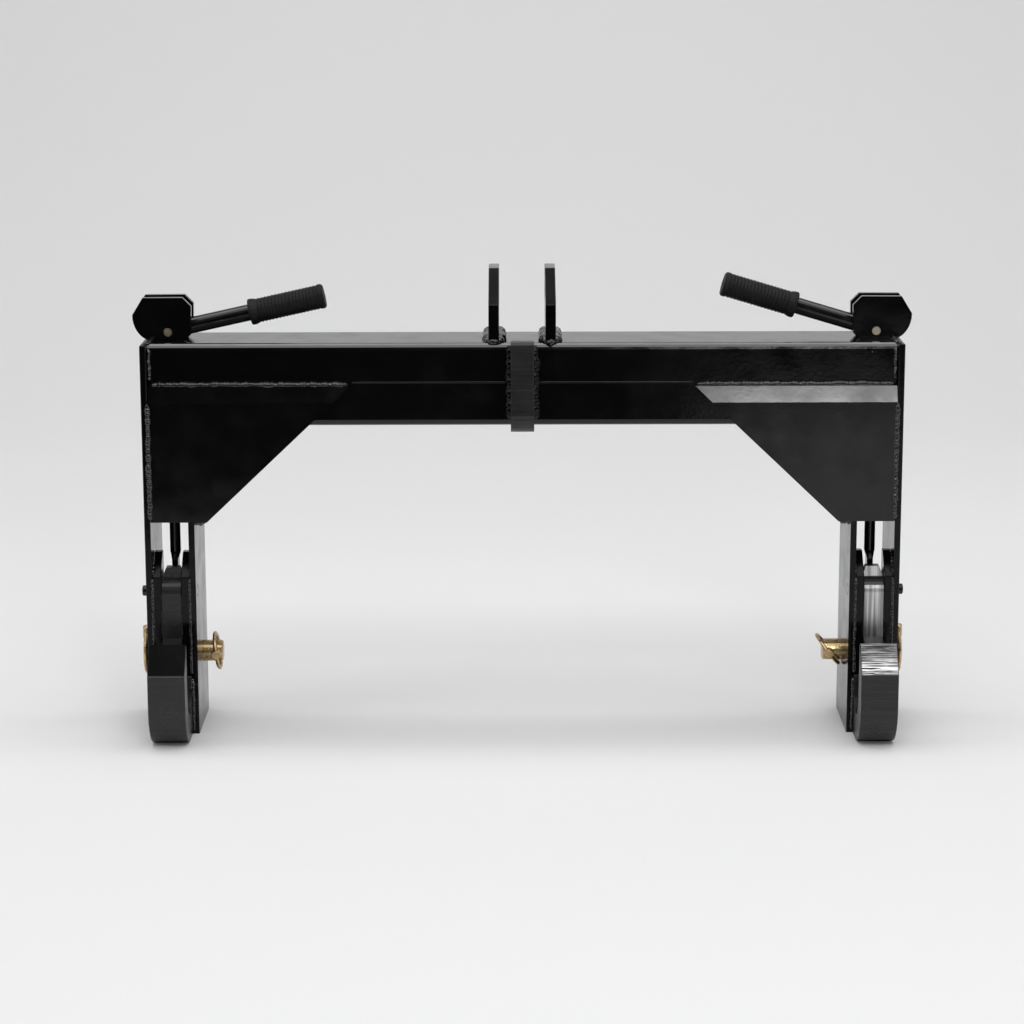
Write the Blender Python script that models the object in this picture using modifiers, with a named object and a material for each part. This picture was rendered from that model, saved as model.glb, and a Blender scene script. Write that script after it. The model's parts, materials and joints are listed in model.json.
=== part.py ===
"""Three point quick hitch, category 1, implement side towards -Y, standing on its lower hooks.

Metres, +Z up. Depths below are from the plane of the legs' front edges; the last step moves the
whole hitch so that the origin is on the floor in the middle of its box.
"""
import math

import bmesh
import bpy
from mathutils import Matrix, Vector

# Driving dimensions of the frame
HOOK_SPACING = 0.6816
HOOK_THICKNESS = 0.0358
PLATE = 0.006
SEAT = 0.0003
BEAM_SIDE = 0.080
BEAM_WALL = 0.005
BEAM_CORNER = 0.006
BEAM_SETBACK = 0.010
BEAM_TOP = 0.384

# Gusset sheet, folded back along its top to meet the beam's face at mid height
GUSSET_SHEET = 0.005
GUSSET_BOTTOM = 0.2115
GUSSET_FOLD = 0.328
GUSSET_FOOT_WIDTH = 0.0542
GUSSET_TOP_LENGTH = 0.1937

# Lower hooks
THROAT_RADIUS = 0.020
THROAT_HEIGHT = 0.045
NOSE_THICKNESS = 0.022
NOSE_TOP = 0.1016
NOSE_RAMP_FOOT = 0.074
NOSE_HEEL_RADIUS = 0.040
HOOK_SHELF = 0.058
HOOK_TAIL = 0.036

# Guide plates beside the latch
GUIDE = 0.008
GUIDE_TOP = 0.178
GUIDE_DEPTH = 0.030
GUIDE_CHAMFER = 0.021

# Latch
LATCH_PLAY = 0.00065
PIVOT_Y = 0.014
PIVOT_Z = 0.141
PIVOT_PIN = 0.0105
PIVOT_PIN_PROUD = 0.005
LATCH_TOP = 0.163
LATCH_TOE = 0.079
LATCH_REACH = 0.033
LATCH_ARM_BOSS = 0.009

# Lift rod and its spring
ROD = 0.0105
ROD_HOLE = 0.0125
ROD_Y = 0.0465
ROD_EYE = 0.0144
ROD_FLAT = 0.006
ROD_FLAT_WIDTH = 0.018
ROD_FOOT = 0.119
ROD_TAPER_TOP = 0.1734
ROD_TAPER_FOOT = 0.166
CROSS_PIN = 0.008
CROSS_PIN_DROP = 0.013
SPRING_WIRE = 0.002
SPRING_COIL = 0.017
SPRING_TURNS = 8
WASHER_DISC = 0.024
WASHER_HEIGHT = 0.0025
WASHER_TOP = 0.250
STOP_PIN = 0.003

# Cam lever
LEVER_PIN = 0.008
LEVER_PIN_HEIGHT = 0.008
CAM_PLATE = 0.006
CAM_LIFT = 0.0263
LEVER_BAR = 0.016
LEVER_LENGTH = 0.150
LEVER_ROOT = 0.0105
LEVER_SWING = math.radians(90.0)
LEVER_ANGLES = {"left": math.radians(12.5), "right": math.radians(16.7)}
GRIP = 0.024
GRIP_START = 0.080
GRIP_END = 0.1538
GRIP_RIBS = 18
GRIP_RIB_DEPTH = 0.0007

# Hitch pins and the linch pins through their ends
HITCH_PIN = 0.021
HITCH_PIN_Y = 0.060
HITCH_PIN_Z = 0.0685
HITCH_PIN_INSIDE = 0.0191
HITCH_PIN_OUTSIDE = 0.011
LINCH_STEM = 0.005
LINCH_HEAD = 0.0095
RING_PLAY = 0.0008
INNER_LINCH_INSET = 0.0058
INNER_RING = 0.0385
INNER_RING_WIRE = 0.0034
INNER_RING_LEAN = {"left": math.radians(8.0), "right": math.radians(38.0)}
OUTER_LINCH_INSET = 0.0038
OUTER_RING = 0.047
OUTER_RING_WIRE = 0.0045

# Top ears and top hook
EAR = 0.010
EAR_GAP = 0.0445
EAR_TOP = 0.0646
EAR_KINK = 0.037
EAR_LEAN = 0.060
EAR_BACK = 0.112
EAR_HOLE = 0.020
EAR_HOLE_Y = 0.088
EAR_HOLE_Z = 0.042
TOP_HOOK = 0.022
TOP_THROAT_RADIUS = 0.016
TOP_THROAT_DROP = 0.037
TOP_NOSE = 0.018
TOP_NOSE_RISE = 0.010
TOP_HOOK_DROP = 0.0775
TOP_HOOK_BACK = 0.0117

# Sizes that follow from them
LEG_GAP = HOOK_THICKNESS + 2 * SEAT
LEG_WIDTH = LEG_GAP + 2 * PLATE
LEG_DEPTH = BEAM_SETBACK + BEAM_SIDE
HALF_WIDTH = (HOOK_SPACING + LEG_WIDTH) / 2
LEG_CENTRE = HOOK_SPACING / 2
OUTER_WALL = HALF_WIDTH - PLATE
INNER_WALL = OUTER_WALL - LEG_GAP
BEAM_BOTTOM = BEAM_TOP - BEAM_SIDE
BEAM_MIDDLE = (BEAM_TOP + BEAM_BOTTOM) / 2
NOSE_FRONT = -2 * THROAT_RADIUS - NOSE_THICKNESS
LATCH_SLOT = LEG_GAP - 2 * (GUIDE + SEAT)
LATCH_WIDTH = LATCH_SLOT - 2 * LATCH_PLAY
CROSS_PIN_Z = PIVOT_Z - CROSS_PIN_DROP
LATCH_ARM = math.hypot(ROD_Y - PIVOT_Y, CROSS_PIN_DROP)
CAM_LOW = LEVER_PIN_HEIGHT - SEAT
LIFT_RATE = CAM_LIFT / LEVER_SWING
CAM_GAP = LEVER_BAR + 2 * SEAT
PIN_HEIGHT = BEAM_TOP + LEVER_PIN_HEIGHT
CENTRE_Y = (EAR_BACK + NOSE_FRONT) / 2

# Colour, roughness and metallic value of each finish
FINISHES = {
    "black_paint": ((0.012, 0.012, 0.013), 0.22, 0.0),
    "satin_paint": ((0.022, 0.022, 0.023), 0.42, 0.0),
    "spring_steel": ((0.08, 0.08, 0.085), 0.35, 1.0),
    "yellow_zinc": ((0.52, 0.40, 0.20), 0.32, 1.0),
    "black_rubber": ((0.020, 0.020, 0.021), 0.75, 0.0),
}

# Local axes of a flat outline, as columns of a rotation: along the beam, or across it
SIDE_VIEW = Matrix(((0, 0, 1), (1, 0, 0), (0, 1, 0))).to_4x4()
FRONT_VIEW = Matrix(((1, 0, 0), (0, 0, -1), (0, 1, 0))).to_4x4()
EYE_VIEW = Matrix(((0, 1, 0), (1, 0, 0), (0, 0, -1))).to_4x4()


def clear_scene():
    for item in list(bpy.data.objects):
        bpy.data.objects.remove(item, do_unlink=True)


def new_collection(name):
    group = bpy.data.collections.new(name)
    bpy.context.scene.collection.children.link(group)
    return group


def finish(name):
    material = bpy.data.materials.get(name)
    if material is None:
        colour, roughness, metallic = FINISHES[name]
        material = bpy.data.materials.new(name)
        material.use_nodes = True
        shader = material.node_tree.nodes["Principled BSDF"]
        shader.inputs["Base Color"].default_value = (*colour, 1.0)
        shader.inputs["Roughness"].default_value = roughness
        shader.inputs["Metallic"].default_value = metallic
    return material


def add_object(name, mesh, matrix, group, material=None):
    item = bpy.data.objects.new(name, mesh)
    item.matrix_world = matrix
    group.objects.link(item)
    if material:
        mesh.materials.clear()
        mesh.materials.append(finish(material))
    return item


def arc(centre, radius, start, end, steps):
    """Points of an arc in degrees, both ends included."""
    points = []
    for step in range(steps + 1):
        angle = math.radians(start + (end - start) * step / steps)
        points.append((centre[0] + radius * math.cos(angle), centre[1] + radius * math.sin(angle)))
    return points


def circle(centre, radius, steps=24):
    return arc(centre, radius, 0, 360, steps)[:-1]


def rounded_box(low, high, radius, steps=4):
    corners = [((high[0] - radius, high[1] - radius), 0), ((low[0] + radius, high[1] - radius), 90),
               ((low[0] + radius, low[1] + radius), 180), ((high[0] - radius, low[1] + radius), 270)]
    points = []
    for centre, start in corners:
        points += arc(centre, radius, start, start + 90, steps)
    return points


def flat_mesh(name, loops, thickness):
    """Mesh of a 2D outline, holes included, extruded evenly about its own plane."""
    curve = bpy.data.curves.new(name, "CURVE")
    curve.dimensions = "2D"
    curve.fill_mode = "BOTH"
    curve.extrude = thickness / 2
    for loop in loops:
        spline = curve.splines.new("POLY")
        spline.points.add(len(loop) - 1)
        for point, place in zip(spline.points, loop):
            point.co = (place[0], place[1], 0, 1)
        spline.use_cyclic_u = True
    return mesh_from_curve(name, curve)


def mesh_from_curve(name, curve):
    holder = bpy.data.objects.new(name + "_outline", curve)
    bpy.context.scene.collection.objects.link(holder)
    evaluated = holder.evaluated_get(bpy.context.evaluated_depsgraph_get())
    mesh = bpy.data.meshes.new_from_object(evaluated)
    bpy.data.objects.remove(holder, do_unlink=True)
    edit = bmesh.new()
    edit.from_mesh(mesh)
    bmesh.ops.remove_doubles(edit, verts=edit.verts, dist=0.00002)
    bmesh.ops.recalc_face_normals(edit, faces=edit.faces)
    edit.to_mesh(mesh)
    edit.free()
    mesh.name = name
    return mesh


def side_plate(name, loops, thickness, x, material, group):
    """Plate whose outline is drawn in Y and Z, centred on x."""
    mesh = flat_mesh(name, loops, thickness)
    return add_object(name, mesh, Matrix.Translation((x, 0, 0)) @ SIDE_VIEW, group, material)


def round_bar(name, radius, length, sides=24):
    """Cylinder along Z, centred on its origin."""
    edit = bmesh.new()
    bmesh.ops.create_cone(edit, cap_ends=True, segments=sides, radius1=radius, radius2=radius,
                          depth=length)
    mesh = bpy.data.meshes.new(name)
    edit.to_mesh(mesh)
    edit.free()
    return mesh


def along(axis, place):
    """Matrix that lays an object's Z along an axis at a place."""
    return Matrix.Translation(place) @ Vector((0, 0, 1)).rotation_difference(Vector(axis)).to_matrix().to_4x4()


def cut(item, cutter, operation="DIFFERENCE"):
    cutter.hide_render = True
    cutter.display_type = "WIRE"
    boolean = item.modifiers.new(operation.lower(), "BOOLEAN")
    boolean.operation = operation
    boolean.object = cutter
    boolean.solver = "EXACT"


def drill(item, cutters, radius, axis, place, length, sides=24):
    mesh = round_bar(item.name + "_drill", radius, length, sides)
    cut(item, add_object(item.name + "_drill", mesh, along(axis, place), cutters))


def ease_edges(item, width):
    bevel = item.modifiers.new("eased_edges", "BEVEL")
    bevel.width = width
    bevel.segments = 1
    bevel.limit_method = "ANGLE"
    bevel.angle_limit = math.radians(40)


def shade_round(item):
    item.data.shade_smooth()
    item.data.set_sharp_from_angle(angle=math.radians(35))


def turned(name, profile, steps, matrix, material, group):
    """Closed profile of (radius, height) points, bottom last at +X, spun about Z."""
    mesh = bpy.data.meshes.new(name)
    count = len(profile)
    mesh.from_pydata([(radius, 0, height) for radius, height in profile],
                     [(index, (index + 1) % count) for index in range(count)], [])
    item = add_object(name, mesh, matrix, group, material)
    screw = item.modifiers.new("turned", "SCREW")
    screw.steps = steps
    screw.render_steps = steps
    screw.merge_threshold = 0.00001
    screw.use_merge_vertices = True
    screw.use_normal_calculate = True
    return item


def keep_place(item, parent):
    bpy.context.view_layer.update()
    item.parent = parent
    item.matrix_parent_inverse = parent.matrix_world.inverted()


def add_empty(name, place, group):
    item = bpy.data.objects.new(name, None)
    item.location = place
    item.empty_display_size = 0.02
    group.objects.link(item)
    return item


def beam(group, cutters):
    outer = rounded_box((BEAM_SETBACK, BEAM_BOTTOM), (LEG_DEPTH, BEAM_TOP), BEAM_CORNER)
    inner = rounded_box((BEAM_SETBACK + BEAM_WALL, BEAM_BOTTOM + BEAM_WALL),
                        (LEG_DEPTH - BEAM_WALL, BEAM_TOP - BEAM_WALL),
                        max(BEAM_CORNER - BEAM_WALL, 0.001), 2)
    item = side_plate("beam", [outer, inner], 2 * (OUTER_WALL - SEAT), 0, "black_paint", group)
    for side in (-1, 1):
        middle = (side * LEG_CENTRE, ROD_Y, (BEAM_TOP + BEAM_BOTTOM) / 2)
        drill(item, cutters, ROD_HOLE / 2, (0, 0, 1), middle, 2 * BEAM_SIDE)
    return item


def leg_plates(tag, side, group):
    bolt_hole = circle((PIVOT_Y, PIVOT_Z), PIVOT_PIN / 2 + SEAT)
    pin_hole = circle((HITCH_PIN_Y, HITCH_PIN_Z), HITCH_PIN / 2 + SEAT, 28)
    outer = [(0, 0), (LEG_DEPTH, 0), (LEG_DEPTH, BEAM_TOP), (0, BEAM_TOP)]
    item = side_plate(tag + "_outer_leg_plate", [outer, bolt_hole, pin_hole], PLATE,
                      side * (OUTER_WALL + PLATE / 2), "black_paint", group)
    ease_edges(item, 0.0008)
    notch = GUSSET_SHEET + SEAT
    top = BEAM_BOTTOM - SEAT
    inner = [(0, 0), (LEG_DEPTH, 0), (LEG_DEPTH, top), (notch, top),
             (notch, GUSSET_BOTTOM - SEAT), (0, GUSSET_BOTTOM - SEAT)]
    item = side_plate(tag + "_inner_leg_plate", [inner, bolt_hole, pin_hole], PLATE,
                      side * (INNER_WALL - PLATE / 2), "black_paint", group)


def gusset(tag, side, group, cutters):
    """Folded sheet: a section drawn in Y and Z, then trimmed along its diagonal."""
    beam_middle = (BEAM_TOP + BEAM_BOTTOM) / 2
    rise = beam_middle - GUSSET_FOLD
    reach = BEAM_SETBACK - SEAT
    slope = math.atan2(reach - GUSSET_SHEET, rise)
    across = GUSSET_SHEET / math.cos(slope)
    back_fold = GUSSET_FOLD - GUSSET_SHEET * math.tan(slope / 2)
    section = [(0, GUSSET_BOTTOM), (GUSSET_SHEET, GUSSET_BOTTOM), (GUSSET_SHEET, back_fold),
               (reach, back_fold + (reach - GUSSET_SHEET) / math.tan(slope)),
               (reach - across, back_fold + (reach - GUSSET_SHEET) / math.tan(slope)),
               (0, GUSSET_FOLD)]
    end = OUTER_WALL - SEAT
    tip = end - GUSSET_TOP_LENGTH
    foot = end - GUSSET_FOOT_WIDTH
    item = side_plate(tag + "_gusset", [section], GUSSET_TOP_LENGTH,
                      side * (end + tip) / 2, "black_paint", group)
    climb = (beam_middle - GUSSET_BOTTOM) / (foot - tip)
    spare = 0.05
    trim = [(side * (foot + spare), GUSSET_BOTTOM - spare * climb),
            (side * (tip - spare), beam_middle + spare * climb),
            (side * (tip - spare), GUSSET_BOTTOM - spare * climb)]
    mesh = flat_mesh(tag + "_gusset_trim", [trim], 0.1)
    cut(item, add_object(tag + "_gusset_trim", mesh, FRONT_VIEW, cutters))


def lower_hook(tag, side, group):
    """Thick flame-cut hook: an upright nose, a round throat and a tail between the legs."""
    centre = (-THROAT_RADIUS, THROAT_HEIGHT)
    wall = -2 * THROAT_RADIUS
    heel = (NOSE_FRONT + NOSE_HEEL_RADIUS, NOSE_HEEL_RADIUS)
    outline = [(wall, NOSE_TOP - 0.003), (wall - 0.003, NOSE_TOP), (NOSE_FRONT, NOSE_RAMP_FOOT)]
    outline += arc(heel, NOSE_HEEL_RADIUS, 180, 270, 8)
    outline += [(LEG_DEPTH - 0.004, 0), (LEG_DEPTH - 0.004, HOOK_TAIL - 0.006),
                (LEG_DEPTH - 0.010, HOOK_TAIL), (0.048, HOOK_TAIL), (0.030, HOOK_SHELF),
                (-SEAT, HOOK_SHELF)]
    outline += arc(centre, THROAT_RADIUS - SEAT, 0, -180, 14)
    item = side_plate(tag + "_lower_hook", [outline], HOOK_THICKNESS, side * LEG_CENTRE,
                      "satin_paint", group)
    ease_edges(item, 0.0008)


def guide_plates(tag, side, group):
    """Two plates welded inside the leg, one on each side of the latch."""
    foot = HOOK_SHELF + SEAT
    outline = [(0, foot), (GUIDE_DEPTH, foot), (GUIDE_DEPTH, GUIDE_TOP),
               (GUIDE_DEPTH - 0.008, GUIDE_TOP), (0, GUIDE_TOP - GUIDE_CHAMFER)]
    hole = circle((PIVOT_Y, PIVOT_Z), PIVOT_PIN / 2 + SEAT)
    offset = (LEG_GAP - GUIDE) / 2 - SEAT
    for place, away in (("outer", 1), ("inner", -1)):
        item = side_plate(tag + "_" + place + "_guide", [outline, hole], GUIDE,
                          side * (LEG_CENTRE + away * offset), "black_paint", group)
        ease_edges(item, 0.0006)


def latch(tag, side, group, cutters):
    """Latch dog: a toe that closes the throat and a forked arm behind it for the lift rod."""
    face = 0.001
    pivot = (PIVOT_Y, PIVOT_Z)
    crown = PIVOT_Y - face
    boss = (ROD_Y, CROSS_PIN_Z)
    outline = [(face, LATCH_TOE + 0.017)] + arc(pivot, crown, 180, 90, 6)
    outline += [(PIVOT_Y + 0.004, LATCH_TOP), (PIVOT_Y + 0.014, LATCH_TOP),
                (PIVOT_Y + 0.020, LATCH_TOP - 0.013)]
    outline += arc(boss, LATCH_ARM_BOSS, 75, -110, 10)
    outline += [(PIVOT_Y + 0.012, CROSS_PIN_Z - 0.016), (PIVOT_Y + 0.010, LATCH_TOE + 0.005),
                (0, LATCH_TOE), (-LATCH_REACH + 0.003, LATCH_TOE + 0.004),
                (-LATCH_REACH, LATCH_TOE + 0.009)]
    holes = [circle(pivot, PIVOT_PIN / 2 + SEAT), circle(boss, CROSS_PIN / 2 + SEAT, 20)]
    item = side_plate(tag + "_latch", [outline] + holes, LATCH_WIDTH, side * LEG_CENTRE,
                      "satin_paint", group)
    front = PIVOT_Y + 0.0135
    slot = [(front, 0), (2 * ROD_Y, 0), (2 * ROD_Y, BEAM_TOP), (front, BEAM_TOP)]
    mesh = flat_mesh(tag + "_latch_slot", [slot], ROD_FLAT + 0.0008)
    place = Matrix.Translation((side * LEG_CENTRE, 0, 0)) @ SIDE_VIEW
    cut(item, add_object(tag + "_latch_slot", mesh, place, cutters))
    for away in (-1, 1):
        edge = LATCH_WIDTH / 2 + 0.001
        trim = [(away * edge, LATCH_TOP - 0.010), (away * edge, LATCH_TOP + 0.003),
                (away * (edge - 0.005), LATCH_TOP + 0.003)]
        mesh = flat_mesh(tag + "_latch_trim", [trim], 0.1)
        place = Matrix.Translation((side * LEG_CENTRE, 0, 0)) @ FRONT_VIEW
        cut(item, add_object(tag + "_latch_trim", mesh, place, cutters))
    return item


def pivot_pin(tag, side, group):
    """Plain pin across the leg that carries the latch, proud of the outer plate only."""
    inner = INNER_WALL - PLATE
    outer = HALF_WIDTH + PIVOT_PIN_PROUD
    item = add_object(tag + "_pivot_pin",
                      round_bar(tag + "_pivot_pin", PIVOT_PIN / 2, outer - inner, 24),
                      along((side, 0, 0), (side * (outer + inner) / 2, PIVOT_Y, PIVOT_Z)),
                      group, "black_paint")
    ease_edges(item, 0.0008)
    shade_round(item)


def rod_mesh(name, sections, points=20):
    """Loft through closed sections (height, half width x, half width y, squareness)."""
    edit = bmesh.new()
    rings = []
    for height, half_x, half_y, power in sections:
        ring = []
        for index in range(points):
            angle = 2 * math.pi * (index + 0.5) / points
            cosine = math.cos(angle)
            sine = math.sin(angle)
            x = half_x * math.copysign(abs(cosine) ** (2 / power), cosine)
            y = half_y * math.copysign(abs(sine) ** (2 / power), sine)
            ring.append(edit.verts.new((x, y, height)))
        rings.append(ring)
    for low, high in zip(rings, rings[1:]):
        for index in range(points):
            following = (index + 1) % points
            edit.faces.new((low[index], low[following], high[following], high[index]))
    edit.faces.new(list(reversed(rings[0])))
    edit.faces.new(rings[-1])
    mesh = bpy.data.meshes.new(name)
    edit.to_mesh(mesh)
    edit.free()
    return mesh


def lift_rod(tag, side, group, cutters):
    """Round rod with an eye for the lever pin above and a flat, slotted foot below."""
    eye = ROD_EYE / 2
    flat = (ROD_FLAT / 2, ROD_FLAT_WIDTH / 2, 8)
    round_section = (ROD / 2, ROD / 2, 2)
    sections = [(ROD_FOOT, ROD_FLAT / 2, ROD_FLAT_WIDTH / 2 - 0.002, 8),
                (ROD_FOOT + 0.002, *flat), (ROD_TAPER_FOOT, *flat),
                ((ROD_TAPER_FOOT + ROD_TAPER_TOP) / 2, 0.0042, 0.0075, 3),
                (ROD_TAPER_TOP, *round_section), (PIN_HEIGHT, *round_section)]
    place = (side * LEG_CENTRE, ROD_Y, 0)
    item = add_object(tag + "_lift_rod", rod_mesh(tag + "_lift_rod", sections),
                      Matrix.Translation(place), group, "black_paint")
    pin_place = (side * LEG_CENTRE, ROD_Y, PIN_HEIGHT)
    mesh = round_bar(tag + "_rod_eye", eye, CAM_GAP - 0.0012, 24)
    cut(item, add_object(tag + "_rod_eye", mesh, along((0, 1, 0), pin_place), cutters), "UNION")
    radius = CROSS_PIN / 2 + SEAT
    run = LATCH_ARM - (ROD_Y - PIVOT_Y)
    slot = (arc((run, CROSS_PIN_Z), radius, -90, 90, 8) + arc((0, CROSS_PIN_Z), radius, 90, 270, 8))
    mesh = flat_mesh(tag + "_rod_slot", [slot], 0.03)
    cut(item, add_object(tag + "_rod_slot", mesh, Matrix.Translation(place) @ SIDE_VIEW, cutters))
    drill(item, cutters, LEVER_PIN / 2 + SEAT, (0, 1, 0), pin_place, 0.05, 20)
    stop_z = WASHER_TOP - WASHER_HEIGHT - SEAT - STOP_PIN / 2
    drill(item, cutters, STOP_PIN / 2 + SEAT, (1, 0, 0), (place[0], ROD_Y, stop_z), 0.05, 12)
    shade_round(item)
    return item


def spring_set(tag, side, group):
    """Compression spring between the beam and a washer held on the rod by a roll pin."""
    place = Matrix.Translation((side * LEG_CENTRE, ROD_Y, 0))
    low = WASHER_TOP + SEAT + SPRING_WIRE / 2
    high = BEAM_BOTTOM - SEAT - SPRING_WIRE / 2
    per_turn = 16
    count = SPRING_TURNS * per_turn
    radius = SPRING_COIL / 2
    curve = bpy.data.curves.new(tag + "_spring", "CURVE")
    curve.dimensions = "3D"
    curve.bevel_depth = SPRING_WIRE / 2
    curve.bevel_resolution = 2
    curve.use_fill_caps = True
    spline = curve.splines.new("POLY")
    spline.points.add(count)
    closed = 0.9
    span = SPRING_TURNS - 2 * closed
    pitch = (high - low - 2 * SPRING_WIRE * 1.05) / span
    for index, point in enumerate(spline.points):
        turn = index / per_turn
        slow = min(turn, closed) + max(turn - SPRING_TURNS + closed, 0)
        height = low + slow * SPRING_WIRE * 1.05 / closed + (turn - slow) * pitch
        angle = 2 * math.pi * turn
        point.co = (radius * math.cos(angle), radius * math.sin(angle), height, 1)
    add_object(tag + "_spring", mesh_from_curve(tag + "_spring", curve), place, group, "spring_steel")
    bore = ROD / 2 + SEAT
    disc = WASHER_DISC / 2
    base = WASHER_TOP - WASHER_HEIGHT
    profile = [(bore, base), (bore, WASHER_TOP), (disc - 0.0006, WASHER_TOP),
               (disc, WASHER_TOP - 0.0006), (disc, base)]
    washer = turned(tag + "_spring_washer", profile, 24, place, "spring_steel", group)
    pin = add_object(tag + "_stop_pin", round_bar(tag + "_stop_pin", STOP_PIN / 2, WASHER_DISC, 12),
                     along((1, 0, 0), (side * LEG_CENTRE, ROD_Y, base - SEAT - STOP_PIN / 2)), group,
                     "spring_steel")
    return washer, pin


def cam_outline():
    """Cam profile about its pin, (outwards, up): its lifting face raises the pin evenly."""
    points = []
    steps = 12
    for step in range(steps + 1):
        turn = LEVER_SWING * step / steps
        height = CAM_LOW + LIFT_RATE * turn
        points.append((height * math.sin(turn) + LIFT_RATE * math.cos(turn),
                       -height * math.cos(turn) + LIFT_RATE * math.sin(turn)))
    points += [(0.0238, 0.0333), (-0.0145, 0.0335), (-0.0227, 0.0251), (-0.0222, -0.0020),
               (-0.0164, -CAM_LOW)]
    return points


def cam_lever(tag, side, group):
    """Two cam plates, a bar welded between them and a ribbed grip, turning on one pin."""
    pivot = Matrix.Translation((side * LEG_CENTRE, ROD_Y, PIN_HEIGHT))
    outline = [(side * out, up) for out, up in cam_outline()]
    hole = circle((0, 0), LEVER_PIN / 2 + SEAT, 20)
    pieces = []
    for place, toward in (("front", -1), ("rear", 1)):
        offset = toward * (CAM_GAP + CAM_PLATE) / 2
        mesh = flat_mesh(tag + "_" + place + "_cam", [outline, hole], CAM_PLATE)
        item = add_object(tag + "_" + place + "_cam", mesh,
                          pivot @ Matrix.Translation((0, offset, 0)) @ FRONT_VIEW, group, "black_paint")
        ease_edges(item, 0.0006)
        pieces.append(item)
    angle = LEVER_ANGLES[tag]
    direction = (-side * math.cos(angle), 0, math.sin(angle))
    middle = (LEVER_ROOT + LEVER_LENGTH) / 2
    turn = Vector((0, 0, 1)).rotation_difference(Vector(direction)).to_matrix().to_4x4()
    bar = add_object(tag + "_lever_bar",
                     round_bar(tag + "_lever_bar", LEVER_BAR / 2, LEVER_LENGTH - LEVER_ROOT, 24),
                     pivot @ turn @ Matrix.Translation((0, 0, middle)), group, "black_paint")
    pieces.append(bar)
    pieces.append(grip(tag, pivot @ turn, group))
    pin_length = CAM_GAP + 2 * CAM_PLATE + 0.002
    pin = add_object(tag + "_lever_pin", round_bar(tag + "_lever_pin", LEVER_PIN / 2, pin_length, 20),
                     pivot @ along((0, 1, 0), (0, 0, 0)), group, "yellow_zinc")
    pieces.append(pin)
    for item in pieces:
        if item.name.endswith(("bar", "pin")):
            shade_round(item)
    return pieces


def grip(tag, matrix, group):
    """Ribbed rubber sleeve with a collar at its root and an air hole in its end."""
    bore = LEVER_BAR / 2 + SEAT
    outer = GRIP / 2
    air_hole = 0.003
    end_wall = LEVER_LENGTH + SEAT
    profile = [(air_hole, GRIP_END), (outer - 0.0015, GRIP_END), (outer, GRIP_END - 0.0015)]
    ribbed_top = GRIP_END - 0.005
    ribbed_foot = GRIP_START + 0.007
    pitch = (ribbed_top - ribbed_foot) / GRIP_RIBS
    for rib in range(GRIP_RIBS):
        top = ribbed_top - rib * pitch
        profile += [(outer, top), (outer - GRIP_RIB_DEPTH, top - 0.3 * pitch),
                    (outer - GRIP_RIB_DEPTH, top - 0.6 * pitch)]
    profile += [(outer, ribbed_foot), (outer + 0.0008, GRIP_START + 0.004),
                (outer + 0.0008, GRIP_START + 0.001), (outer, GRIP_START), (bore, GRIP_START),
                (bore, end_wall), (air_hole, end_wall)]
    item = turned(tag + "_grip", profile, 20, matrix, "black_rubber", group)
    return item


def turned_pin(name, profile, matrix, material, group):
    """Solid round piece whose profile of (radius, height) points starts and ends on the axis."""
    mesh = bpy.data.meshes.new(name)
    mesh.from_pydata([(radius, 0, height) for radius, height in profile],
                     [(index, index + 1) for index in range(len(profile) - 1)], [])
    item = add_object(name, mesh, matrix, group, material)
    screw = item.modifiers.new("turned", "SCREW")
    screw.steps = 24
    screw.render_steps = 24
    screw.use_merge_vertices = True
    screw.merge_threshold = 0.00001
    screw.use_normal_calculate = True
    return item


def ring_mesh(name, diameter, wire):
    """Wire ring in the local YZ plane; its foremost point is the origin, its centre at +Y."""
    edit = bmesh.new()
    major = (diameter - wire) / 2
    around = 48
    across = 10
    rows = []
    for index in range(around):
        turn = 2 * math.pi * index / around
        outward = Vector((0, math.cos(turn), math.sin(turn)))
        row = []
        for step in range(across):
            angle = 2 * math.pi * step / across
            reach = outward * (major + wire / 2 * math.cos(angle))
            row.append(edit.verts.new(reach + Vector((wire / 2 * math.sin(angle), major, 0))))
        rows.append(row)
    for index in range(around):
        this = rows[index]
        following = rows[(index + 1) % around]
        for step in range(across):
            after = (step + 1) % across
            edit.faces.new((this[step], this[after], following[after], following[step]))
    bmesh.ops.recalc_face_normals(edit, faces=edit.faces)
    mesh = bpy.data.meshes.new(name)
    edit.to_mesh(mesh)
    edit.free()
    return mesh


def linch_pin(name, frame, diameter, wire, group, cutters):
    """Linch pin whose local Y runs from its head's eye down the stem; the ring hangs on the eye."""
    major = (diameter - wire) / 2
    eye = wire / 2 + RING_PLAY
    sag = major - math.sqrt(major ** 2 - (LINCH_HEAD / 2) ** 2)
    head = LINCH_HEAD / 2
    edge = 0.0008
    front = -(eye + 0.0012)
    shoulder = max(eye + sag + 0.0012, major - HITCH_PIN / 2 - 0.002)
    tail = major + HITCH_PIN / 2 + 0.0045
    radius = LINCH_STEM / 2
    profile = [(0, front), (head - edge, front), (head, front + edge), (head, shoulder - edge),
               (head - edge, shoulder), (radius, shoulder), (radius, tail - edge),
               (radius - edge, tail), (0, tail)]
    stem = turned_pin(name, profile, frame @ Matrix.Rotation(math.radians(-90), 4, "X"),
                      "yellow_zinc", group)
    slot = arc((0, 0), eye, 90, 270, 8) + arc((sag, 0), eye, -90, 90, 8)
    mesh = flat_mesh(name + "_eye", [[(x, y) for x, y in slot]], 0.05)
    cut(stem, add_object(name + "_eye", mesh, frame @ EYE_VIEW, cutters))
    ring = add_object(name + "_ring", ring_mesh(name + "_ring", diameter, wire), frame, group,
                      "yellow_zinc")
    shade_round(ring)
    return stem, ring


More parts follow.
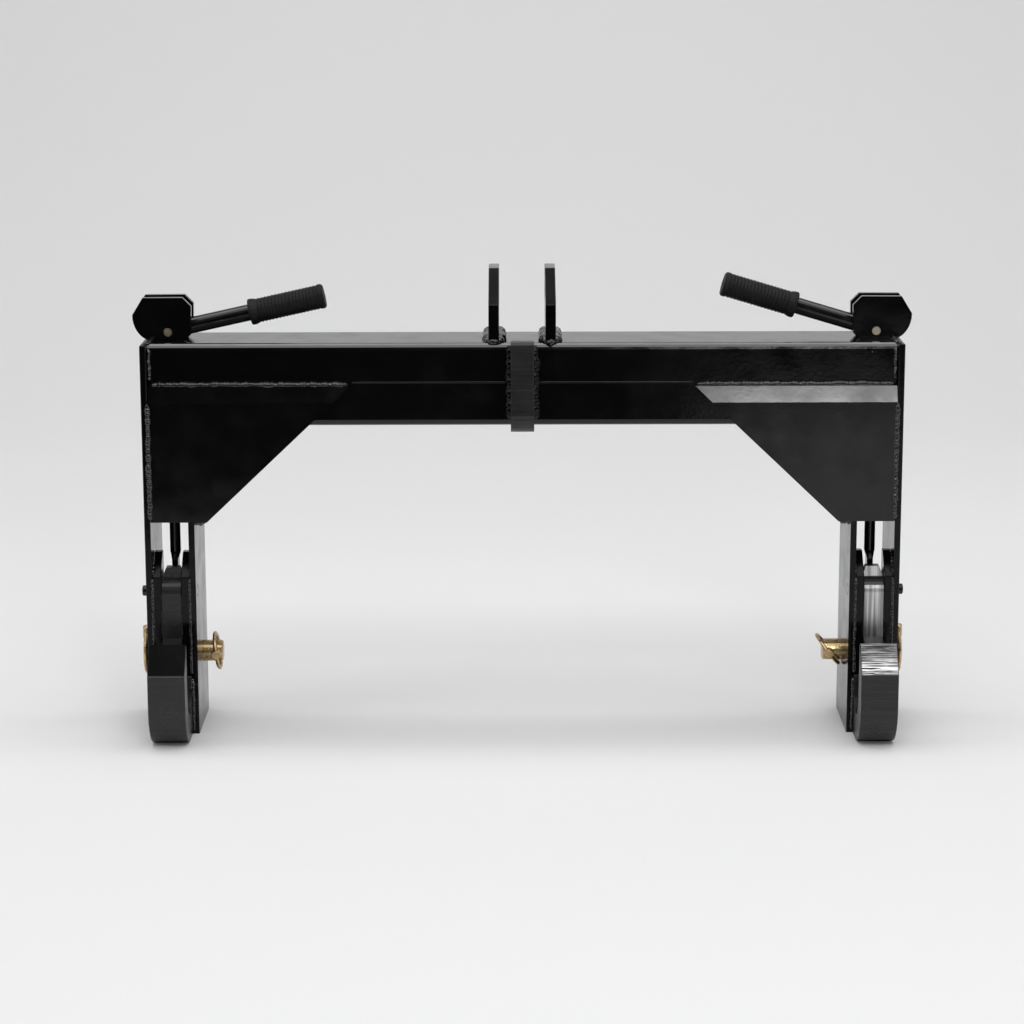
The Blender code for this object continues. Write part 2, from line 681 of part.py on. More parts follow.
def hitch_pin(tag, side, group, cutters):
    """Hitch pin through both leg plates, held by a linch pin across each end."""
    inner_end = INNER_WALL - PLATE - HITCH_PIN_INSIDE
    outer_end = HALF_WIDTH + HITCH_PIN_OUTSIDE
    edge = 0.0012
    radius = HITCH_PIN / 2
    half = (outer_end - inner_end) / 2
    profile = [(0, half), (radius - edge, half), (radius, half - edge), (radius, edge - half),
               (radius - edge, -half), (0, -half)]
    middle = (side * (outer_end + inner_end) / 2, HITCH_PIN_Y, HITCH_PIN_Z)
    item = turned_pin(tag + "_hitch_pin", profile, along((1, 0, 0), middle), "yellow_zinc", group)
    inner_x = side * (inner_end + INNER_LINCH_INSET)
    outer_x = side * (outer_end - OUTER_LINCH_INSET)
    hole = LINCH_STEM / 2 + SEAT
    drill(item, cutters, hole, (0, 1, 0), (inner_x, HITCH_PIN_Y, HITCH_PIN_Z), 0.05, 20)
    drill(item, cutters, hole, (0, 0, 1), (outer_x, HITCH_PIN_Y, HITCH_PIN_Z), 0.05, 20)
    inner_major = (INNER_RING - INNER_RING_WIRE) / 2
    outer_major = (OUTER_RING - OUTER_RING_WIRE) / 2
    inner_frame = (Matrix.Translation((inner_x, HITCH_PIN_Y - inner_major, HITCH_PIN_Z))
                   @ Matrix.Rotation(-INNER_RING_LEAN[tag], 4, "Y"))
    outer_frame = (Matrix.Translation((outer_x, HITCH_PIN_Y, HITCH_PIN_Z + outer_major))
                   @ Matrix.Rotation(math.radians(-90), 4, "X"))
    linch_pin(tag + "_inner_linch", inner_frame, INNER_RING, INNER_RING_WIRE, group, cutters)
    linch_pin(tag + "_outer_linch", outer_frame, OUTER_RING, OUTER_RING_WIRE, group, cutters)


def top_ears(group):
    """Pair of lugs on the beam for the tractor's top link."""
    foot = BEAM_TOP + SEAT
    top = BEAM_TOP + EAR_TOP
    corner = (EAR_BACK - 0.008, top - 0.008)
    outline = [(BEAM_SETBACK + 0.002, foot), (LEG_DEPTH - 0.002, foot),
               (EAR_BACK, BEAM_TOP + 0.031)]
    outline += arc(corner, 0.008, 0, 90, 4)
    outline += [(BEAM_SETBACK + EAR_LEAN, top), (BEAM_SETBACK + 0.002, BEAM_TOP + EAR_KINK)]
    hole = circle((EAR_HOLE_Y, BEAM_TOP + EAR_HOLE_Z), EAR_HOLE / 2, 32)
    for tag, side in (("left", -1), ("right", 1)):
        item = side_plate(tag + "_top_ear", [outline, hole], EAR, side * (EAR_GAP + EAR) / 2,
                          "black_paint", group)
        ease_edges(item, 0.0008)


def top_hook(group):
    """Thick hook welded to the beam's face for the implement's mast pin."""
    face = BEAM_SETBACK - SEAT
    throat_back = face - TOP_HOOK_BACK
    throat_front = throat_back - 2 * TOP_THROAT_RADIUS
    front = throat_front - TOP_NOSE
    centre = (throat_back - TOP_THROAT_RADIUS, BEAM_TOP - TOP_THROAT_DROP)
    top = BEAM_TOP + TOP_NOSE_RISE
    bottom = BEAM_TOP - TOP_HOOK_DROP
    heel = 0.018
    outline = [(throat_front, top - 0.003), (throat_front - 0.003, top), (front + 0.002, top),
               (front, top - 0.002)]
    outline += arc((front + heel, bottom + heel), heel, 180, 270, 6)
    outline += [(face, bottom), (face, BEAM_TOP), (throat_back + 0.002, BEAM_TOP),
                (throat_back, BEAM_TOP - 0.002)]
    outline += arc(centre, TOP_THROAT_RADIUS, 0, -180, 14)
    item = side_plate("top_hook", [outline], TOP_HOOK, 0, "satin_paint", group)
    ease_edges(item, 0.0008)


def build():
    clear_scene()
    group = new_collection("quick_hitch")
    cutters = new_collection("cutters")
    beam(group, cutters)
    top_ears(group)
    top_hook(group)
    for tag, side in (("left", -1), ("right", 1)):
        leg_plates(tag, side, group)
        gusset(tag, side, group, cutters)
        lower_hook(tag, side, group)
        guide_plates(tag, side, group)
        pivot_pin(tag, side, group)
        latch_hinge = add_empty(tag + "_latch_hinge", (side * LEG_CENTRE, PIVOT_Y, PIVOT_Z), group)
        cross_pin = add_object(tag + "_cross_pin",
                               round_bar(tag + "_cross_pin", CROSS_PIN / 2, LATCH_WIDTH, 20),
                               along((1, 0, 0), (side * LEG_CENTRE, ROD_Y, CROSS_PIN_Z)), group,
                               "spring_steel")
        for item in (latch(tag, side, group, cutters), cross_pin):
            keep_place(item, latch_hinge)
        rod_slide = add_empty(tag + "_rod_slide", (side * LEG_CENTRE, ROD_Y, PIN_HEIGHT), group)
        for item in (lift_rod(tag, side, group, cutters), *spring_set(tag, side, group)):
            keep_place(item, rod_slide)
        lever_hinge = add_empty(tag + "_lever_hinge", (side * LEG_CENTRE, ROD_Y, PIN_HEIGHT), group)
        for item in cam_lever(tag, side, group):
            keep_place(item, lever_hinge)
        keep_place(lever_hinge, rod_slide)
        hitch_pin(tag, side, group, cutters)
    bpy.context.view_layer.update()
    for item in bpy.data.objects:
        if item.parent is None:
            item.matrix_world = Matrix.Translation((0, -CENTRE_Y, 0)) @ item.matrix_world


build()
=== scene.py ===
import json
import math
import random

import bpy
from mathutils import Matrix, Vector


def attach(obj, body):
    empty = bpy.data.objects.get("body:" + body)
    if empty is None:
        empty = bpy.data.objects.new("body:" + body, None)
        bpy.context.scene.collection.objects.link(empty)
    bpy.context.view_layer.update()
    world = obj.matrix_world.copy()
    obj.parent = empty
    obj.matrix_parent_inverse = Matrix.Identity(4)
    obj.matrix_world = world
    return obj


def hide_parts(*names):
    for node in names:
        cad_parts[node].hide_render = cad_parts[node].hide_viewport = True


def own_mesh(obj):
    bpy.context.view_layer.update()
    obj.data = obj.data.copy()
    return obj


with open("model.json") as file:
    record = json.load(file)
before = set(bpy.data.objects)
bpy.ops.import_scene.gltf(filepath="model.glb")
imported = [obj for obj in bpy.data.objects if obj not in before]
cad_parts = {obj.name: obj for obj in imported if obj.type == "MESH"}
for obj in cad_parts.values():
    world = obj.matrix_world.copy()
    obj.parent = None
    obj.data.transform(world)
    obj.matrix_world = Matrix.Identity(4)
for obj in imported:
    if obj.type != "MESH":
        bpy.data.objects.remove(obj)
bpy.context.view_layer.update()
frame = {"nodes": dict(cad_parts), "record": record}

# Places on the hitch, in metres. Depths are measured back from the legs' front edges.
FRONT = -0.025
OUTER_WALL = 0.359
INNER_WALL = 0.3226
INNER_PLATE_FACE = 0.3166
BEAM_FACE_DEPTH = 0.010
EAR_FACES = (0.02225, 0.03225)
TOP_HOOK_SIDE = 0.0118

# The bare lead-in of a lower hook, or the one given painted shade, lies above this height and faces up by
# this much
LEAD_IN_HEIGHT = (0.0745, 0.0755)
LEAD_IN_SLOPE = (0.35, 0.45)

# Weld beads
WELD_SIDES = 10
WELD_STEP = 0.00045
SMALLEST_PUDDLE = 0.0024

# Weld seam of the square tube, between the two gussets
SEAM_HALF_LENGTH = 0.163
SEAM_STEPS = 260
SEAM_HEIGHT = 0.3462
SEAM_HALF_WIDTH = 0.0009
SEAM_RELIEF = 0.0004

# Floor and backdrop
SWEEP_START = 1.6
SWEEP_RADIUS = 1.5
SWEEP_STEPS = 16
SWEEP_TOP = 7.0
SWEEP_HALF_WIDTH = 9.0
FLOOR_FRONT = -6.0
PALE = (0.82, 0.82, 0.825)
UNSEEN_FLOOR = (0.02, 0.02, 0.02)

# Lamps: place, target, width, height and watts
LAMPS = {
    "overhead": ((0.0, -0.7, 2.6), (0.0, -0.4, 0.0), 3.2, 2.2, 31),
    "back_wash": ((0.0, 0.6, 3.2), (0.0, 3.2, 1.2), 5.0, 1.2, 48),
    "left_box": ((-2.4, -1.0, 1.5), (0.0, 0.0, 0.2), 1.2, 1.6, 8),
    "right_box": ((2.4, -0.6, 1.4), (0.0, 0.0, 0.2), 1.2, 1.6, 5),
    "right_key": ((0.53, -2.40, 1.20), (0.26, 0.0, 0.33), 0.46, 0.22, 8),
    "front_soft": ((0.1, -1.9, 2.3), (0.0, 0.0, 0.35), 1.7, 0.35, 12),
}

# Camera of the photograph
CAMERA_PLACE = (-0.0087, -2.766, 0.813)
CAMERA_LENS = 102.3
CAMERA_SENSOR = 36.0
CAMERA_PITCH = math.radians(12.18)
CAMERA_YAW = math.radians(0.03)
CAMERA_ROLL = math.radians(-0.14)


def new_tree(name):
    material = bpy.data.materials.new(name)
    material.use_nodes = True
    tree = material.node_tree
    return material, tree, tree.nodes["Principled BSDF"]


def add_node(tree, kind, **settings):
    node = tree.nodes.new(kind)
    for key, value in settings.items():
        setattr(node, key, value)
    return node


def combine(tree, operation, first, second):
    node = add_node(tree, "ShaderNodeMath", operation=operation)
    tree.links.new(first, node.inputs[0])
    tree.links.new(second, node.inputs[1])
    return node.outputs[0]


def split(tree, vector):
    node = add_node(tree, "ShaderNodeSeparateXYZ")
    tree.links.new(vector, node.inputs[0])
    return node.outputs


def position(tree):
    """Place on the object, in its own metres."""
    return split(tree, add_node(tree, "ShaderNodeTexCoord").outputs["Object"])


def facing(tree):
    """Direction in which the surface faces."""
    return split(tree, add_node(tree, "ShaderNodeNewGeometry").outputs["Normal"])


def noise(tree, scale, detail=4.0, stretch=(1, 1, 1), rough=0.55):
    """Noise over the object's own metres, drawn out along an axis by a small factor."""
    coords = add_node(tree, "ShaderNodeTexCoord")
    mapping = add_node(tree, "ShaderNodeMapping")
    mapping.inputs["Scale"].default_value = stretch
    tree.links.new(coords.outputs["Object"], mapping.inputs["Vector"])
    texture = add_node(tree, "ShaderNodeTexNoise")
    texture.inputs["Scale"].default_value = scale
    texture.inputs["Detail"].default_value = detail
    texture.inputs["Roughness"].default_value = rough
    tree.links.new(mapping.outputs["Vector"], texture.inputs["Vector"])
    return texture.outputs["Fac"]


def ramp(tree, source, low, high, first=0.0, last=1.0):
    """Source remapped so that low gives first and high gives last."""
    node = add_node(tree, "ShaderNodeMapRange")
    node.inputs["From Min"].default_value = low
    node.inputs["From Max"].default_value = high
    node.inputs["To Min"].default_value = first
    node.inputs["To Max"].default_value = last
    tree.links.new(source, node.inputs["Value"])
    return node.outputs["Result"]


def mix_colour(tree, factor, first, second):
    node = add_node(tree, "ShaderNodeMix", data_type="RGBA")
    sockets = [socket for socket in node.inputs if socket.type == "RGBA"]
    for socket, value in zip(sockets, (first, second)):
        if isinstance(value, tuple):
            socket.default_value = (*value, 1.0)
        else:
            tree.links.new(value, socket)
    tree.links.new(factor, node.inputs[0])
    return [socket for socket in node.outputs if socket.type == "RGBA"][0]


def bump(tree, height, strength, distance, before=None):
    node = add_node(tree, "ShaderNodeBump")
    node.inputs["Strength"].default_value = strength
    node.inputs["Distance"].default_value = distance
    tree.links.new(height, node.inputs["Height"])
    if before:
        tree.links.new(before, node.inputs["Normal"])
    return node.outputs["Normal"]


def dust(tree, base, amount=0.71):
    """Sparse pale specks over a colour, as on the photographed paint."""
    coords = add_node(tree, "ShaderNodeTexCoord")
    cells = add_node(tree, "ShaderNodeTexVoronoi")
    cells.inputs["Scale"].default_value = 95.0
    tree.links.new(coords.outputs["Object"], cells.inputs["Vector"])
    near = ramp(tree, cells.outputs["Distance"], 0.035, 0.05, 1.0, 0.0)
    chosen = ramp(tree, noise(tree, 60.0, 1.0), amount - 0.05, amount, 0.0, 0.55)
    return mix_colour(tree, combine(tree, "MULTIPLY", near, chosen), base, (0.45, 0.45, 0.44))


def gloss_paint(name, colour, roughness, specular=0.42, sheen=0.9, coat=0.0, peel=0.10,
                edge=0.42, edge_from=0.80):
    """Black gloss paint: upright faces take specular, sloping ones edge, and level ones sheen."""
    material, tree, shader = new_tree(name)
    tree.links.new(dust(tree, colour), shader.inputs["Base Color"])
    edge = max(specular, edge)
    up = facing(tree)["Z"]
    sloping = ramp(tree, up, edge_from, edge_from + 0.10, specular, edge)
    level = ramp(tree, up, 0.93, 0.985, 1.0, max(edge, sheen) / edge)
    tree.links.new(combine(tree, "MULTIPLY", sloping, level), shader.inputs["Specular IOR Level"])
    tree.links.new(ramp(tree, noise(tree, 35.0, 3.0), 0.3, 0.7, roughness - 0.05, roughness + 0.07),
                   shader.inputs["Roughness"])
    skin = bump(tree, noise(tree, 260.0, 2.0), peel, 0.0006)
    tree.links.new(bump(tree, noise(tree, 22.0, 3.0), peel / 2, 0.004, skin), shader.inputs["Normal"])
    if coat:
        shader.inputs["Coat Weight"].default_value = coat
        shader.inputs["Coat Roughness"].default_value = 0.04
    return material


def lead_in_mask(tree):
    over = ramp(tree, position(tree)["Z"], *LEAD_IN_HEIGHT)
    slope = ramp(tree, facing(tree)["Z"], *LEAD_IN_SLOPE)
    return combine(tree, "MULTIPLY", over, slope)


def scratched_metal(tree):
    """Bright metal with fine dark lines across, darker towards its upper edge."""
    scratches = noise(tree, 1250.0, 3.0, (0.02, 1, 1), 0.75)
    metal = mix_colour(tree, ramp(tree, scratches, 0.47, 0.58), (0.012, 0.012, 0.013), (0.80, 0.80, 0.79))
    higher = ramp(tree, position(tree)["Z"], 0.080, 0.089, 0.0, 0.70)
    return mix_colour(tree, higher, metal, (0.035, 0.035, 0.037))


def cut_edge_paint(name, colour, roughness, lead_in=None):
    """Thin paint over a flame-cut plate: fine lines through the thickness.

    The sloping lead-in of a lower hook can be "bare" metal, or painted near black with its reflection
    turned down: painted shade on a slope that mirrors dark surroundings.
    """
    material, tree, shader = new_tree(name)
    lines = noise(tree, 620.0, 3.0, (0.02, 1, 1), 0.7)
    coarse = noise(tree, 170.0, 2.0, (0.02, 1, 1))
    paint = mix_colour(tree, ramp(tree, lines, 0.38, 0.68), colour,
                       tuple(value * 1.7 + 0.004 for value in colour))
    specular = 0.4
    scratch = 0.13
    shader.inputs["Specular IOR Level"].default_value = specular
    # Painted shade: the lead-in is drawn near black and its reflection is turned down.
    if lead_in == "painted_shade":
        mask = lead_in_mask(tree)
        paint = mix_colour(tree, mask, paint, (0.0016, 0.0016, 0.0017))
        tree.links.new(ramp(tree, mask, 0.0, 1.0, specular, 0.04), shader.inputs["Specular IOR Level"])
    if lead_in == "bare":
        mask = lead_in_mask(tree)
        scratch = 0.45
        paint = mix_colour(tree, mask, paint, scratched_metal(tree))
        tree.links.new(mask, shader.inputs["Metallic"])
    tree.links.new(dust(tree, paint, 0.68), shader.inputs["Base Color"])
    tree.links.new(ramp(tree, noise(tree, 40.0, 3.0), 0.3, 0.7, roughness - 0.06, roughness + 0.10),
                   shader.inputs["Roughness"])
    fine = bump(tree, lines, scratch, 0.0006)
    tree.links.new(bump(tree, coarse, 0.14, 0.0012, fine), shader.inputs["Normal"])
    return material


def bare_face_painted_reflection(name, colour):
    """Latch whose front is bare metal with upright bands of painted reflection, bright and dark, black
    elsewhere.
    """
    material, tree, shader = new_tree(name)
    # Painted reflection: upright bright and dark bands in the front's colour stand for the shine of a
    # curved face.
    bands = noise(tree, 150.0, 2.0, (1, 0.03, 0.03), 0.6)
    mask = ramp(tree, facing(tree)["Y"], -0.95, -0.85, 1.0, 0.0)
    metal = mix_colour(tree, ramp(tree, bands, 0.38, 0.60), (0.30, 0.30, 0.30), (0.95, 0.95, 0.94))
    tree.links.new(mix_colour(tree, mask, colour, metal), shader.inputs["Base Color"])
    tree.links.new(mask, shader.inputs["Metallic"])
    shader.inputs["Roughness"].default_value = 0.36
    tree.links.new(bump(tree, bands, 0.2, 0.001), shader.inputs["Normal"])
    return material


def plated(name, colour, roughness, patch):
    """Metal plating of one colour with patches of another."""
    material, tree, shader = new_tree(name)
    shade = ramp(tree, noise(tree, 90.0, 4.0), 0.35, 0.7)
    tree.links.new(mix_colour(tree, shade, colour, patch), shader.inputs["Base Color"])
    shader.inputs["Metallic"].default_value = 1.0
    tree.links.new(ramp(tree, noise(tree, 150.0, 3.0), 0.3, 0.7, roughness - 0.06, roughness + 0.12),
                   shader.inputs["Roughness"])
    tree.links.new(bump(tree, noise(tree, 420.0, 3.0), 0.15, 0.0005), shader.inputs["Normal"])
    return material


def rubber(name):
    material, tree, shader = new_tree(name)
    shade = ramp(tree, noise(tree, 80.0, 4.0), 0.35, 0.7)
    tree.links.new(mix_colour(tree, shade, (0.0045, 0.0045, 0.0048), (0.0085, 0.0085, 0.009)),
                   shader.inputs["Base Color"])
    shader.inputs["Roughness"].default_value = 0.55
    shader.inputs["Specular IOR Level"].default_value = 0.22
    tree.links.new(bump(tree, noise(tree, 900.0, 2.0), 0.35, 0.0006), shader.inputs["Normal"])
    return material


BLACK = (0.0018, 0.0018, 0.0019)
paint_black = gloss_paint("gloss_black", BLACK, 0.15)
paint_gusset = gloss_paint("gusset_black", BLACK, 0.14, peel=0.03)
paint_plate = gloss_paint("plate_black", BLACK, 0.15, 0.18)
paint_beam = gloss_paint("beam_black", BLACK, 0.13, edge=1.0, edge_from=0.18)
paint_weld = gloss_paint("weld_black", (0.0020, 0.0020, 0.0022), 0.12, 0.6, coat=0.45)
paint_bead = gloss_paint("bead_black", (0.0018, 0.0018, 0.0020), 0.16, 0.22)
paint_cut = cut_edge_paint("cut_edge_black", (0.0105, 0.0105, 0.011), 0.30)
paint_worn = cut_edge_paint("cut_edge_worn", (0.010, 0.010, 0.0105), 0.30, "bare")
# The left hook's lead-in takes painted shade.
paint_lead_in_shaded = cut_edge_paint("cut_edge_shaded_lead_in", (0.0095, 0.0095, 0.010), 0.30, "painted_shade")
latch_painted_reflection = bare_face_painted_reflection("latch_painted_reflection", (0.008, 0.008, 0.0085))
zinc = plated("zinc_yellow", (0.44, 0.30, 0.14), 0.27, (0.62, 0.47, 0.27))
zinc_dull = plated("zinc_dull", (0.52, 0.47, 0.32), 0.38, (0.64, 0.60, 0.46))
steel = plated("dark_steel", (0.055, 0.055, 0.06), 0.33, (0.10, 0.10, 0.10))
grip_rubber = rubber("grip_rubber")

SLOT_LOOKS = {"black_paint": paint_black, "satin_paint": paint_cut, "yellow_zinc": zinc,
              "spring_steel": steel, "black_rubber": grip_rubber}
NODE_LOOKS = {"beam": paint_beam, "right_lower_hook": paint_worn, "left_lower_hook": paint_lead_in_shaded,
              "right_latch": latch_painted_reflection}
PAIR_LOOKS = {"gusset": paint_gusset, "lever_pin": zinc_dull, "outer_leg_plate": paint_plate,
              "inner_leg_plate": paint_plate, "outer_guide": paint_plate,
              "inner_guide": paint_plate, "top_ear": paint_plate}


def dress_nodes():
    looks = dict(NODE_LOOKS)
    for tag in ("left", "right"):
        for part, look in PAIR_LOOKS.items():
            looks[tag + "_" + part] = look
    for entry in frame["record"]["subparts"]:
        node = frame["nodes"][entry["node"]]
        look = looks.get(entry["node"], SLOT_LOOKS[entry["material_slot"]])
        if not node.material_slots:
            node.data.materials.append(look)
        for place in node.material_slots:
            place.material = look


dress_nodes()


def add_piece(name, vertices, faces, look):
    """Smooth painted piece that is fixed to the hitch's frame."""
    mesh = bpy.data.meshes.new(name)
    mesh.from_pydata(vertices, [], faces)
    mesh.update()
    piece = bpy.data.objects.new(name, mesh)
    bpy.context.scene.collection.objects.link(piece)
    mesh.materials.append(look)
    mesh.shade_smooth()
    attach(piece, "frame")


def bead(start, end, radius, rng):
    """Rings of points along one bead: overlapping puddles that swell and drift."""
    start = Vector(start)
    end = Vector(end)
    line = end - start
    length = line.length
    forward = line / length
    guide = Vector((0, 0, 1)) if abs(forward.z) < 0.9 else Vector((0, 1, 0))
    side = forward.cross(guide).normalized()
    lift = side.cross(forward)
    count = max(6, int(length / WELD_STEP))
    puddle = max(SMALLEST_PUDDLE, radius * 1.15) * rng.uniform(0.9, 1.15)
    shift = rng.uniform(0, puddle)
    sizes = [rng.uniform(0.78, 1.18) for _ in range(int(length / puddle) + 4)]
    drifts = [(rng.uniform(-0.16, 0.16), rng.uniform(-0.16, 0.16)) for _ in sizes]
    points = []
    for step in range(count + 1):
        travel = length * step / count
        phase = (travel + shift) / puddle
        cell = int(phase)
        part = phase - cell
        crest = 0.20 * math.sqrt(max(0.0, 1 - (2 * part - 0.7) ** 2)) if part < 0.85 else 0.0
        blend = part * part * (3 - 2 * part)
        drift_a = drifts[cell][0] * (1 - blend) + drifts[cell + 1][0] * blend
        drift_b = drifts[cell][1] * (1 - blend) + drifts[cell + 1][1] * blend
        from_end = max(0.0, min(travel, length - travel))
        close = min(1.0, math.sqrt(from_end / (1.6 * radius)) + 0.05)
        reach = radius * sizes[cell] * (0.84 + crest) * close
        centre = start + forward * travel + (side * drift_a + lift * drift_b) * radius
        for turn in range(WELD_SIDES):
            angle = 2 * math.pi * turn / WELD_SIDES
            points.append(centre + (side * math.cos(angle) + lift * math.sin(angle)) * reach)
    return points, count


def weld(name, paths, radius, seed, look=paint_weld):
    """Closed weld beads along straight paths."""
    rng = random.Random(seed)
    vertices = []
    faces = []
    for start, end in paths:
        first = len(vertices)
        points, count = bead(start, end, radius, rng)
        vertices += points
        for step in range(count):
            for turn in range(WELD_SIDES):
                after = (turn + 1) % WELD_SIDES
                ring = first + step * WELD_SIDES
                faces.append((ring + turn, ring + after, ring + WELD_SIDES + after,
                              ring + WELD_SIDES + turn))
        faces.append(tuple(first + turn for turn in reversed(range(WELD_SIDES))))
        last = first + count * WELD_SIDES
        faces.append(tuple(last + turn for turn in range(WELD_SIDES)))
    add_piece(name, vertices, faces, look)


def at(x, depth, z):
    return (x, FRONT + depth, z)


def upright(x, depth, low, high):
    return (at(x, depth, low), at(x, depth, high))


def backward(x, front, back, z):
    return (at(x, front, z), at(x, back, z))


def side_welds(tag, side, seed):
    """All beads of one side. Side is -1 on the left and 1 on the right."""
    outer = side * OUTER_WALL
    inner = side * INNER_WALL
    face = side * INNER_PLATE_FACE
    weld(tag + "_gusset_weld", [
        (at(side * 0.167, 0.0075, 0.3446), at(side * 0.3575, 0.0075, 0.3446)),
        upright(outer, 0.0012, 0.2125, 0.328),
        (at(side * 0.306, 0.0035, 0.2108), at(side * 0.322, 0.0035, 0.2108)),
    ], 0.0029, seed)
    weld(tag + "_beam_end_weld", [
        backward(outer - side * 0.001, 0.012, 0.088, 0.3835),
        upright(outer - side * 0.0015, 0.0098, 0.347, 0.380),
        upright(outer - side * 0.001, 0.0895, 0.306, 0.380),
    ], 0.0027, seed + 1)
    weld(tag + "_inner_plate_weld", [
        backward(face, 0.012, 0.088, 0.3038),
        backward(inner, 0.012, 0.088, 0.3038),
    ], 0.0022, seed + 2)
    weld(tag + "_hook_weld", [
        upright(inner - side * 0.0005, 0.0008, 0.002, 0.056),
        upright(outer, 0.0008, 0.002, 0.056),
        upright(inner, 0.0855, 0.003, 0.034),
        upright(outer, 0.0855, 0.003, 0.034),
    ], 0.0024, seed + 3)
    weld(tag + "_guide_weld", [
        upright(inner + side * 0.0002, 0.0006, 0.060, 0.156),
        upright(outer - side * 0.0002, 0.0006, 0.060, 0.156),
        (at(inner + side * 0.0005, 0.002, 0.1595), at(inner + side * 0.0005, 0.021, 0.1775)),
        (at(outer - side * 0.0005, 0.002, 0.1595), at(outer - side * 0.0005, 0.021, 0.1775)),
    ], 0.0017, seed + 4)
    ear_in, ear_out = (side * x for x in EAR_FACES)
    weld(tag + "_ear_weld", [
        backward(ear_in, 0.013, 0.087, 0.3848),
        backward(ear_out, 0.013, 0.087, 0.3848),
        (at(ear_in, 0.0128, 0.3848), at(ear_out, 0.0128, 0.3848)),
        (at(ear_in, 0.0872, 0.3848), at(ear_out, 0.0872, 0.3848)),
    ], 0.0056, seed + 5)
    weld(tag + "_top_hook_weld", [
        upright(side * TOP_HOOK_SIDE, 0.0085, 0.309, 0.3825),
    ], 0.0050, seed + 6, paint_bead)


side_welds("left", -1, 10)
side_welds("right", 1, 50)
weld("top_hook_crown_weld", [
    (at(-0.010, 0.0110, 0.3838), at(0.010, 0.0110, 0.3838)),
    (at(-0.010, 0.0085, 0.3068), at(0.010, 0.0085, 0.3068)),
], 0.0024, 90)


def coil_spring(tag):
    """The spring once more, attached to the rod so that it moves with it, with the original hidden."""
    mesh = frame["nodes"][tag + "_spring"].data.copy()
    coil = bpy.data.objects.new(tag + "_coil", mesh)
    bpy.context.scene.collection.objects.link(coil)
    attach(coil, tag + "_rod")
    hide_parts(tag + "_spring")
    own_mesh(coil)


coil_spring("left")
coil_spring("right")


def seam():
    """Flattened weld seam of the square tube, along its front face."""
    rng = random.Random(7)
    vertices = []
    faces = []
    for step in range(SEAM_STEPS + 1):
        x = -SEAM_HALF_LENGTH + 2 * SEAM_HALF_LENGTH * step / SEAM_STEPS
        height = SEAM_HEIGHT + rng.uniform(-0.00006, 0.00006)
        wide = SEAM_HALF_WIDTH + rng.uniform(-0.0001, 0.0001)
        for lift, out in ((-wide, 0.0), (-wide * 0.4, SEAM_RELIEF),
                          (wide * 0.4, SEAM_RELIEF), (wide, 0.0)):
            vertices.append((x, FRONT + BEAM_FACE_DEPTH + 0.00002 - out, height + lift))
    for step in range(SEAM_STEPS):
        for row in range(3):
            corner = step * 4 + row
            faces.append((corner, corner + 4, corner + 5, corner + 1))
    add_piece("beam_seam", vertices, faces, paint_bead)


seam()


def backdrop_look():
    """Pale sweep. In front, out of the picture, the floor is dark but for a strip on the right.

    The black paint mirrors that part of the floor, and the camera sees all of it as pale.
    """
    material, tree, shader = new_tree("backdrop")
    place = position(tree)
    strip = combine(tree, "MULTIPLY", ramp(tree, place["X"], 0.25, 0.34),
                    ramp(tree, place["Y"], -1.95, -1.80))
    pale = combine(tree, "MAXIMUM", ramp(tree, place["Y"], -0.98, -0.88), strip)
    path = add_node(tree, "ShaderNodeLightPath")
    seen = combine(tree, "MAXIMUM", pale, path.outputs["Is Camera Ray"])
    tree.links.new(mix_colour(tree, seen, UNSEEN_FLOOR, PALE), shader.inputs["Base Color"])
    shader.inputs["Roughness"].default_value = 0.9
    shader.inputs["Specular IOR Level"].default_value = 0.1
    return material


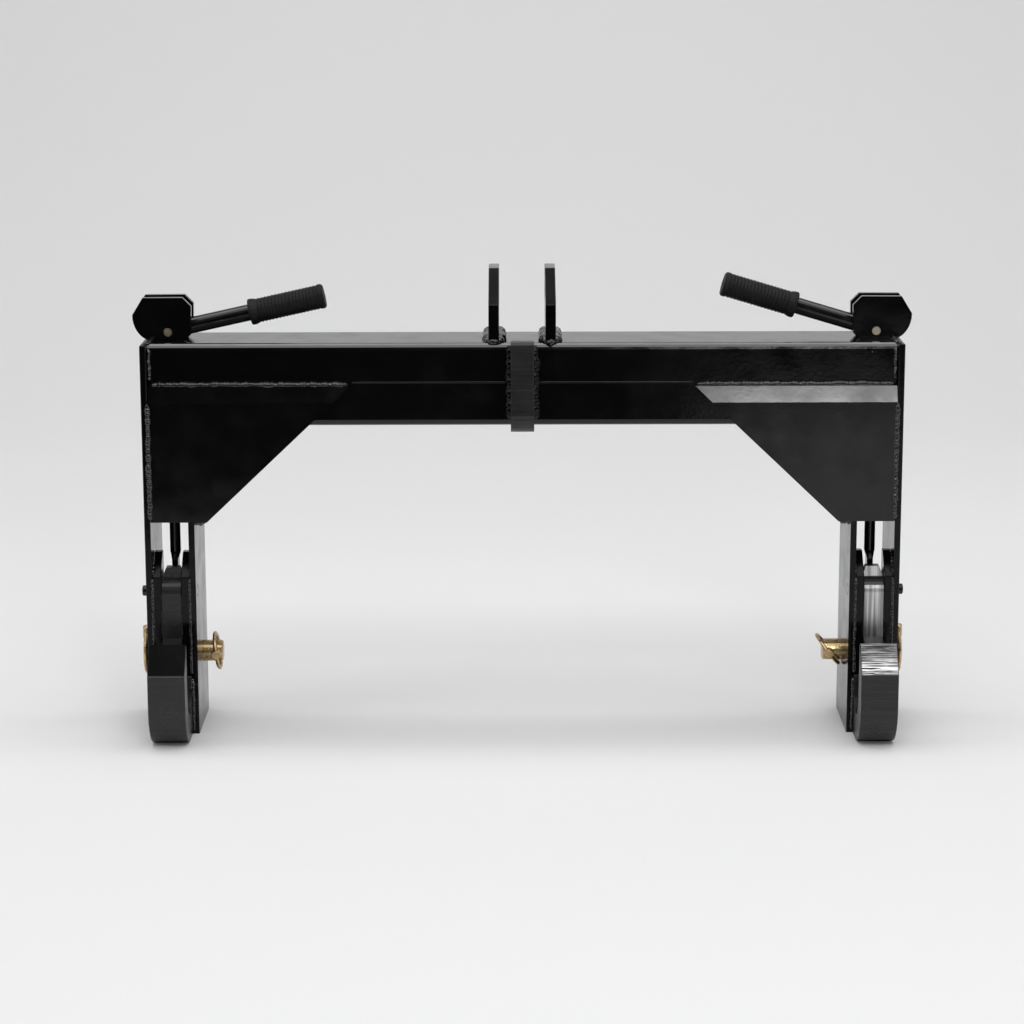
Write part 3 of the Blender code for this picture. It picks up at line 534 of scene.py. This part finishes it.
def stage_sweep():
    """Floor that curves up into the backdrop."""
    profile = [(FLOOR_FRONT, 0.0), (-1.0, 0.0), (SWEEP_START, 0.0)]
    for step in range(1, SWEEP_STEPS + 1):
        angle = math.radians(90 * step / SWEEP_STEPS)
        profile.append((SWEEP_START + SWEEP_RADIUS * math.sin(angle),
                        SWEEP_RADIUS * (1 - math.cos(angle))))
    profile.append((SWEEP_START + SWEEP_RADIUS, SWEEP_TOP))
    vertices = []
    for y, z in profile:
        vertices += [(-SWEEP_HALF_WIDTH, y, z), (SWEEP_HALF_WIDTH, y, z)]
    faces = [(2 * row, 2 * row + 1, 2 * row + 3, 2 * row + 2) for row in range(len(profile) - 1)]
    mesh = bpy.data.meshes.new("backdrop")
    mesh.from_pydata(vertices, [], faces)
    mesh.shade_smooth()
    mesh.materials.append(backdrop_look())
    backdrop = bpy.data.objects.new("backdrop", mesh)
    bpy.context.scene.collection.objects.link(backdrop)


stage_sweep()


def area_light(name, place, target, width, height, watts):
    data = bpy.data.lights.new(name, "AREA")
    data.shape = "RECTANGLE"
    data.size = width
    data.size_y = height
    data.energy = watts
    lamp = bpy.data.objects.new(name, data)
    lamp.location = place
    direction = Vector(target) - Vector(place)
    lamp.rotation_euler = direction.to_track_quat("-Z", "Y").to_euler()
    bpy.context.scene.collection.objects.link(lamp)


for lamp_name, lamp_values in LAMPS.items():
    area_light(lamp_name, *lamp_values)


def studio_world():
    """White surroundings behind and above, darker towards the camera's side."""
    world = bpy.data.worlds.new("studio")
    world.use_nodes = True
    bpy.context.scene.world = world
    tree = world.node_tree
    background = tree.nodes["Background"]
    direction = split(tree, add_node(tree, "ShaderNodeTexCoord").outputs["Generated"])
    back = ramp(tree, direction["Y"], -0.75, 0.2, 0.03, 0.56)
    top = ramp(tree, direction["Z"], 0.35, 0.9, 0.0, 0.45)
    tree.links.new(combine(tree, "MAXIMUM", back, top), background.inputs["Strength"])
    background.inputs["Color"].default_value = (1.0, 1.0, 1.0, 1.0)


studio_world()

camera_data = bpy.data.cameras.new("camera")
camera_data.lens = CAMERA_LENS
camera_data.sensor_width = CAMERA_SENSOR
camera_data.clip_end = 60.0
camera = bpy.data.objects.new("camera", camera_data)
camera.matrix_world = (Matrix.Translation(CAMERA_PLACE) @ Matrix.Rotation(CAMERA_YAW, 4, "Z")
                       @ Matrix.Rotation(math.radians(90) - CAMERA_PITCH, 4, "X")
                       @ Matrix.Rotation(CAMERA_ROLL, 4, "Z"))
bpy.context.scene.collection.objects.link(camera)
bpy.context.scene.camera = camera
bpy.context.scene.view_settings.view_transform = "Standard"
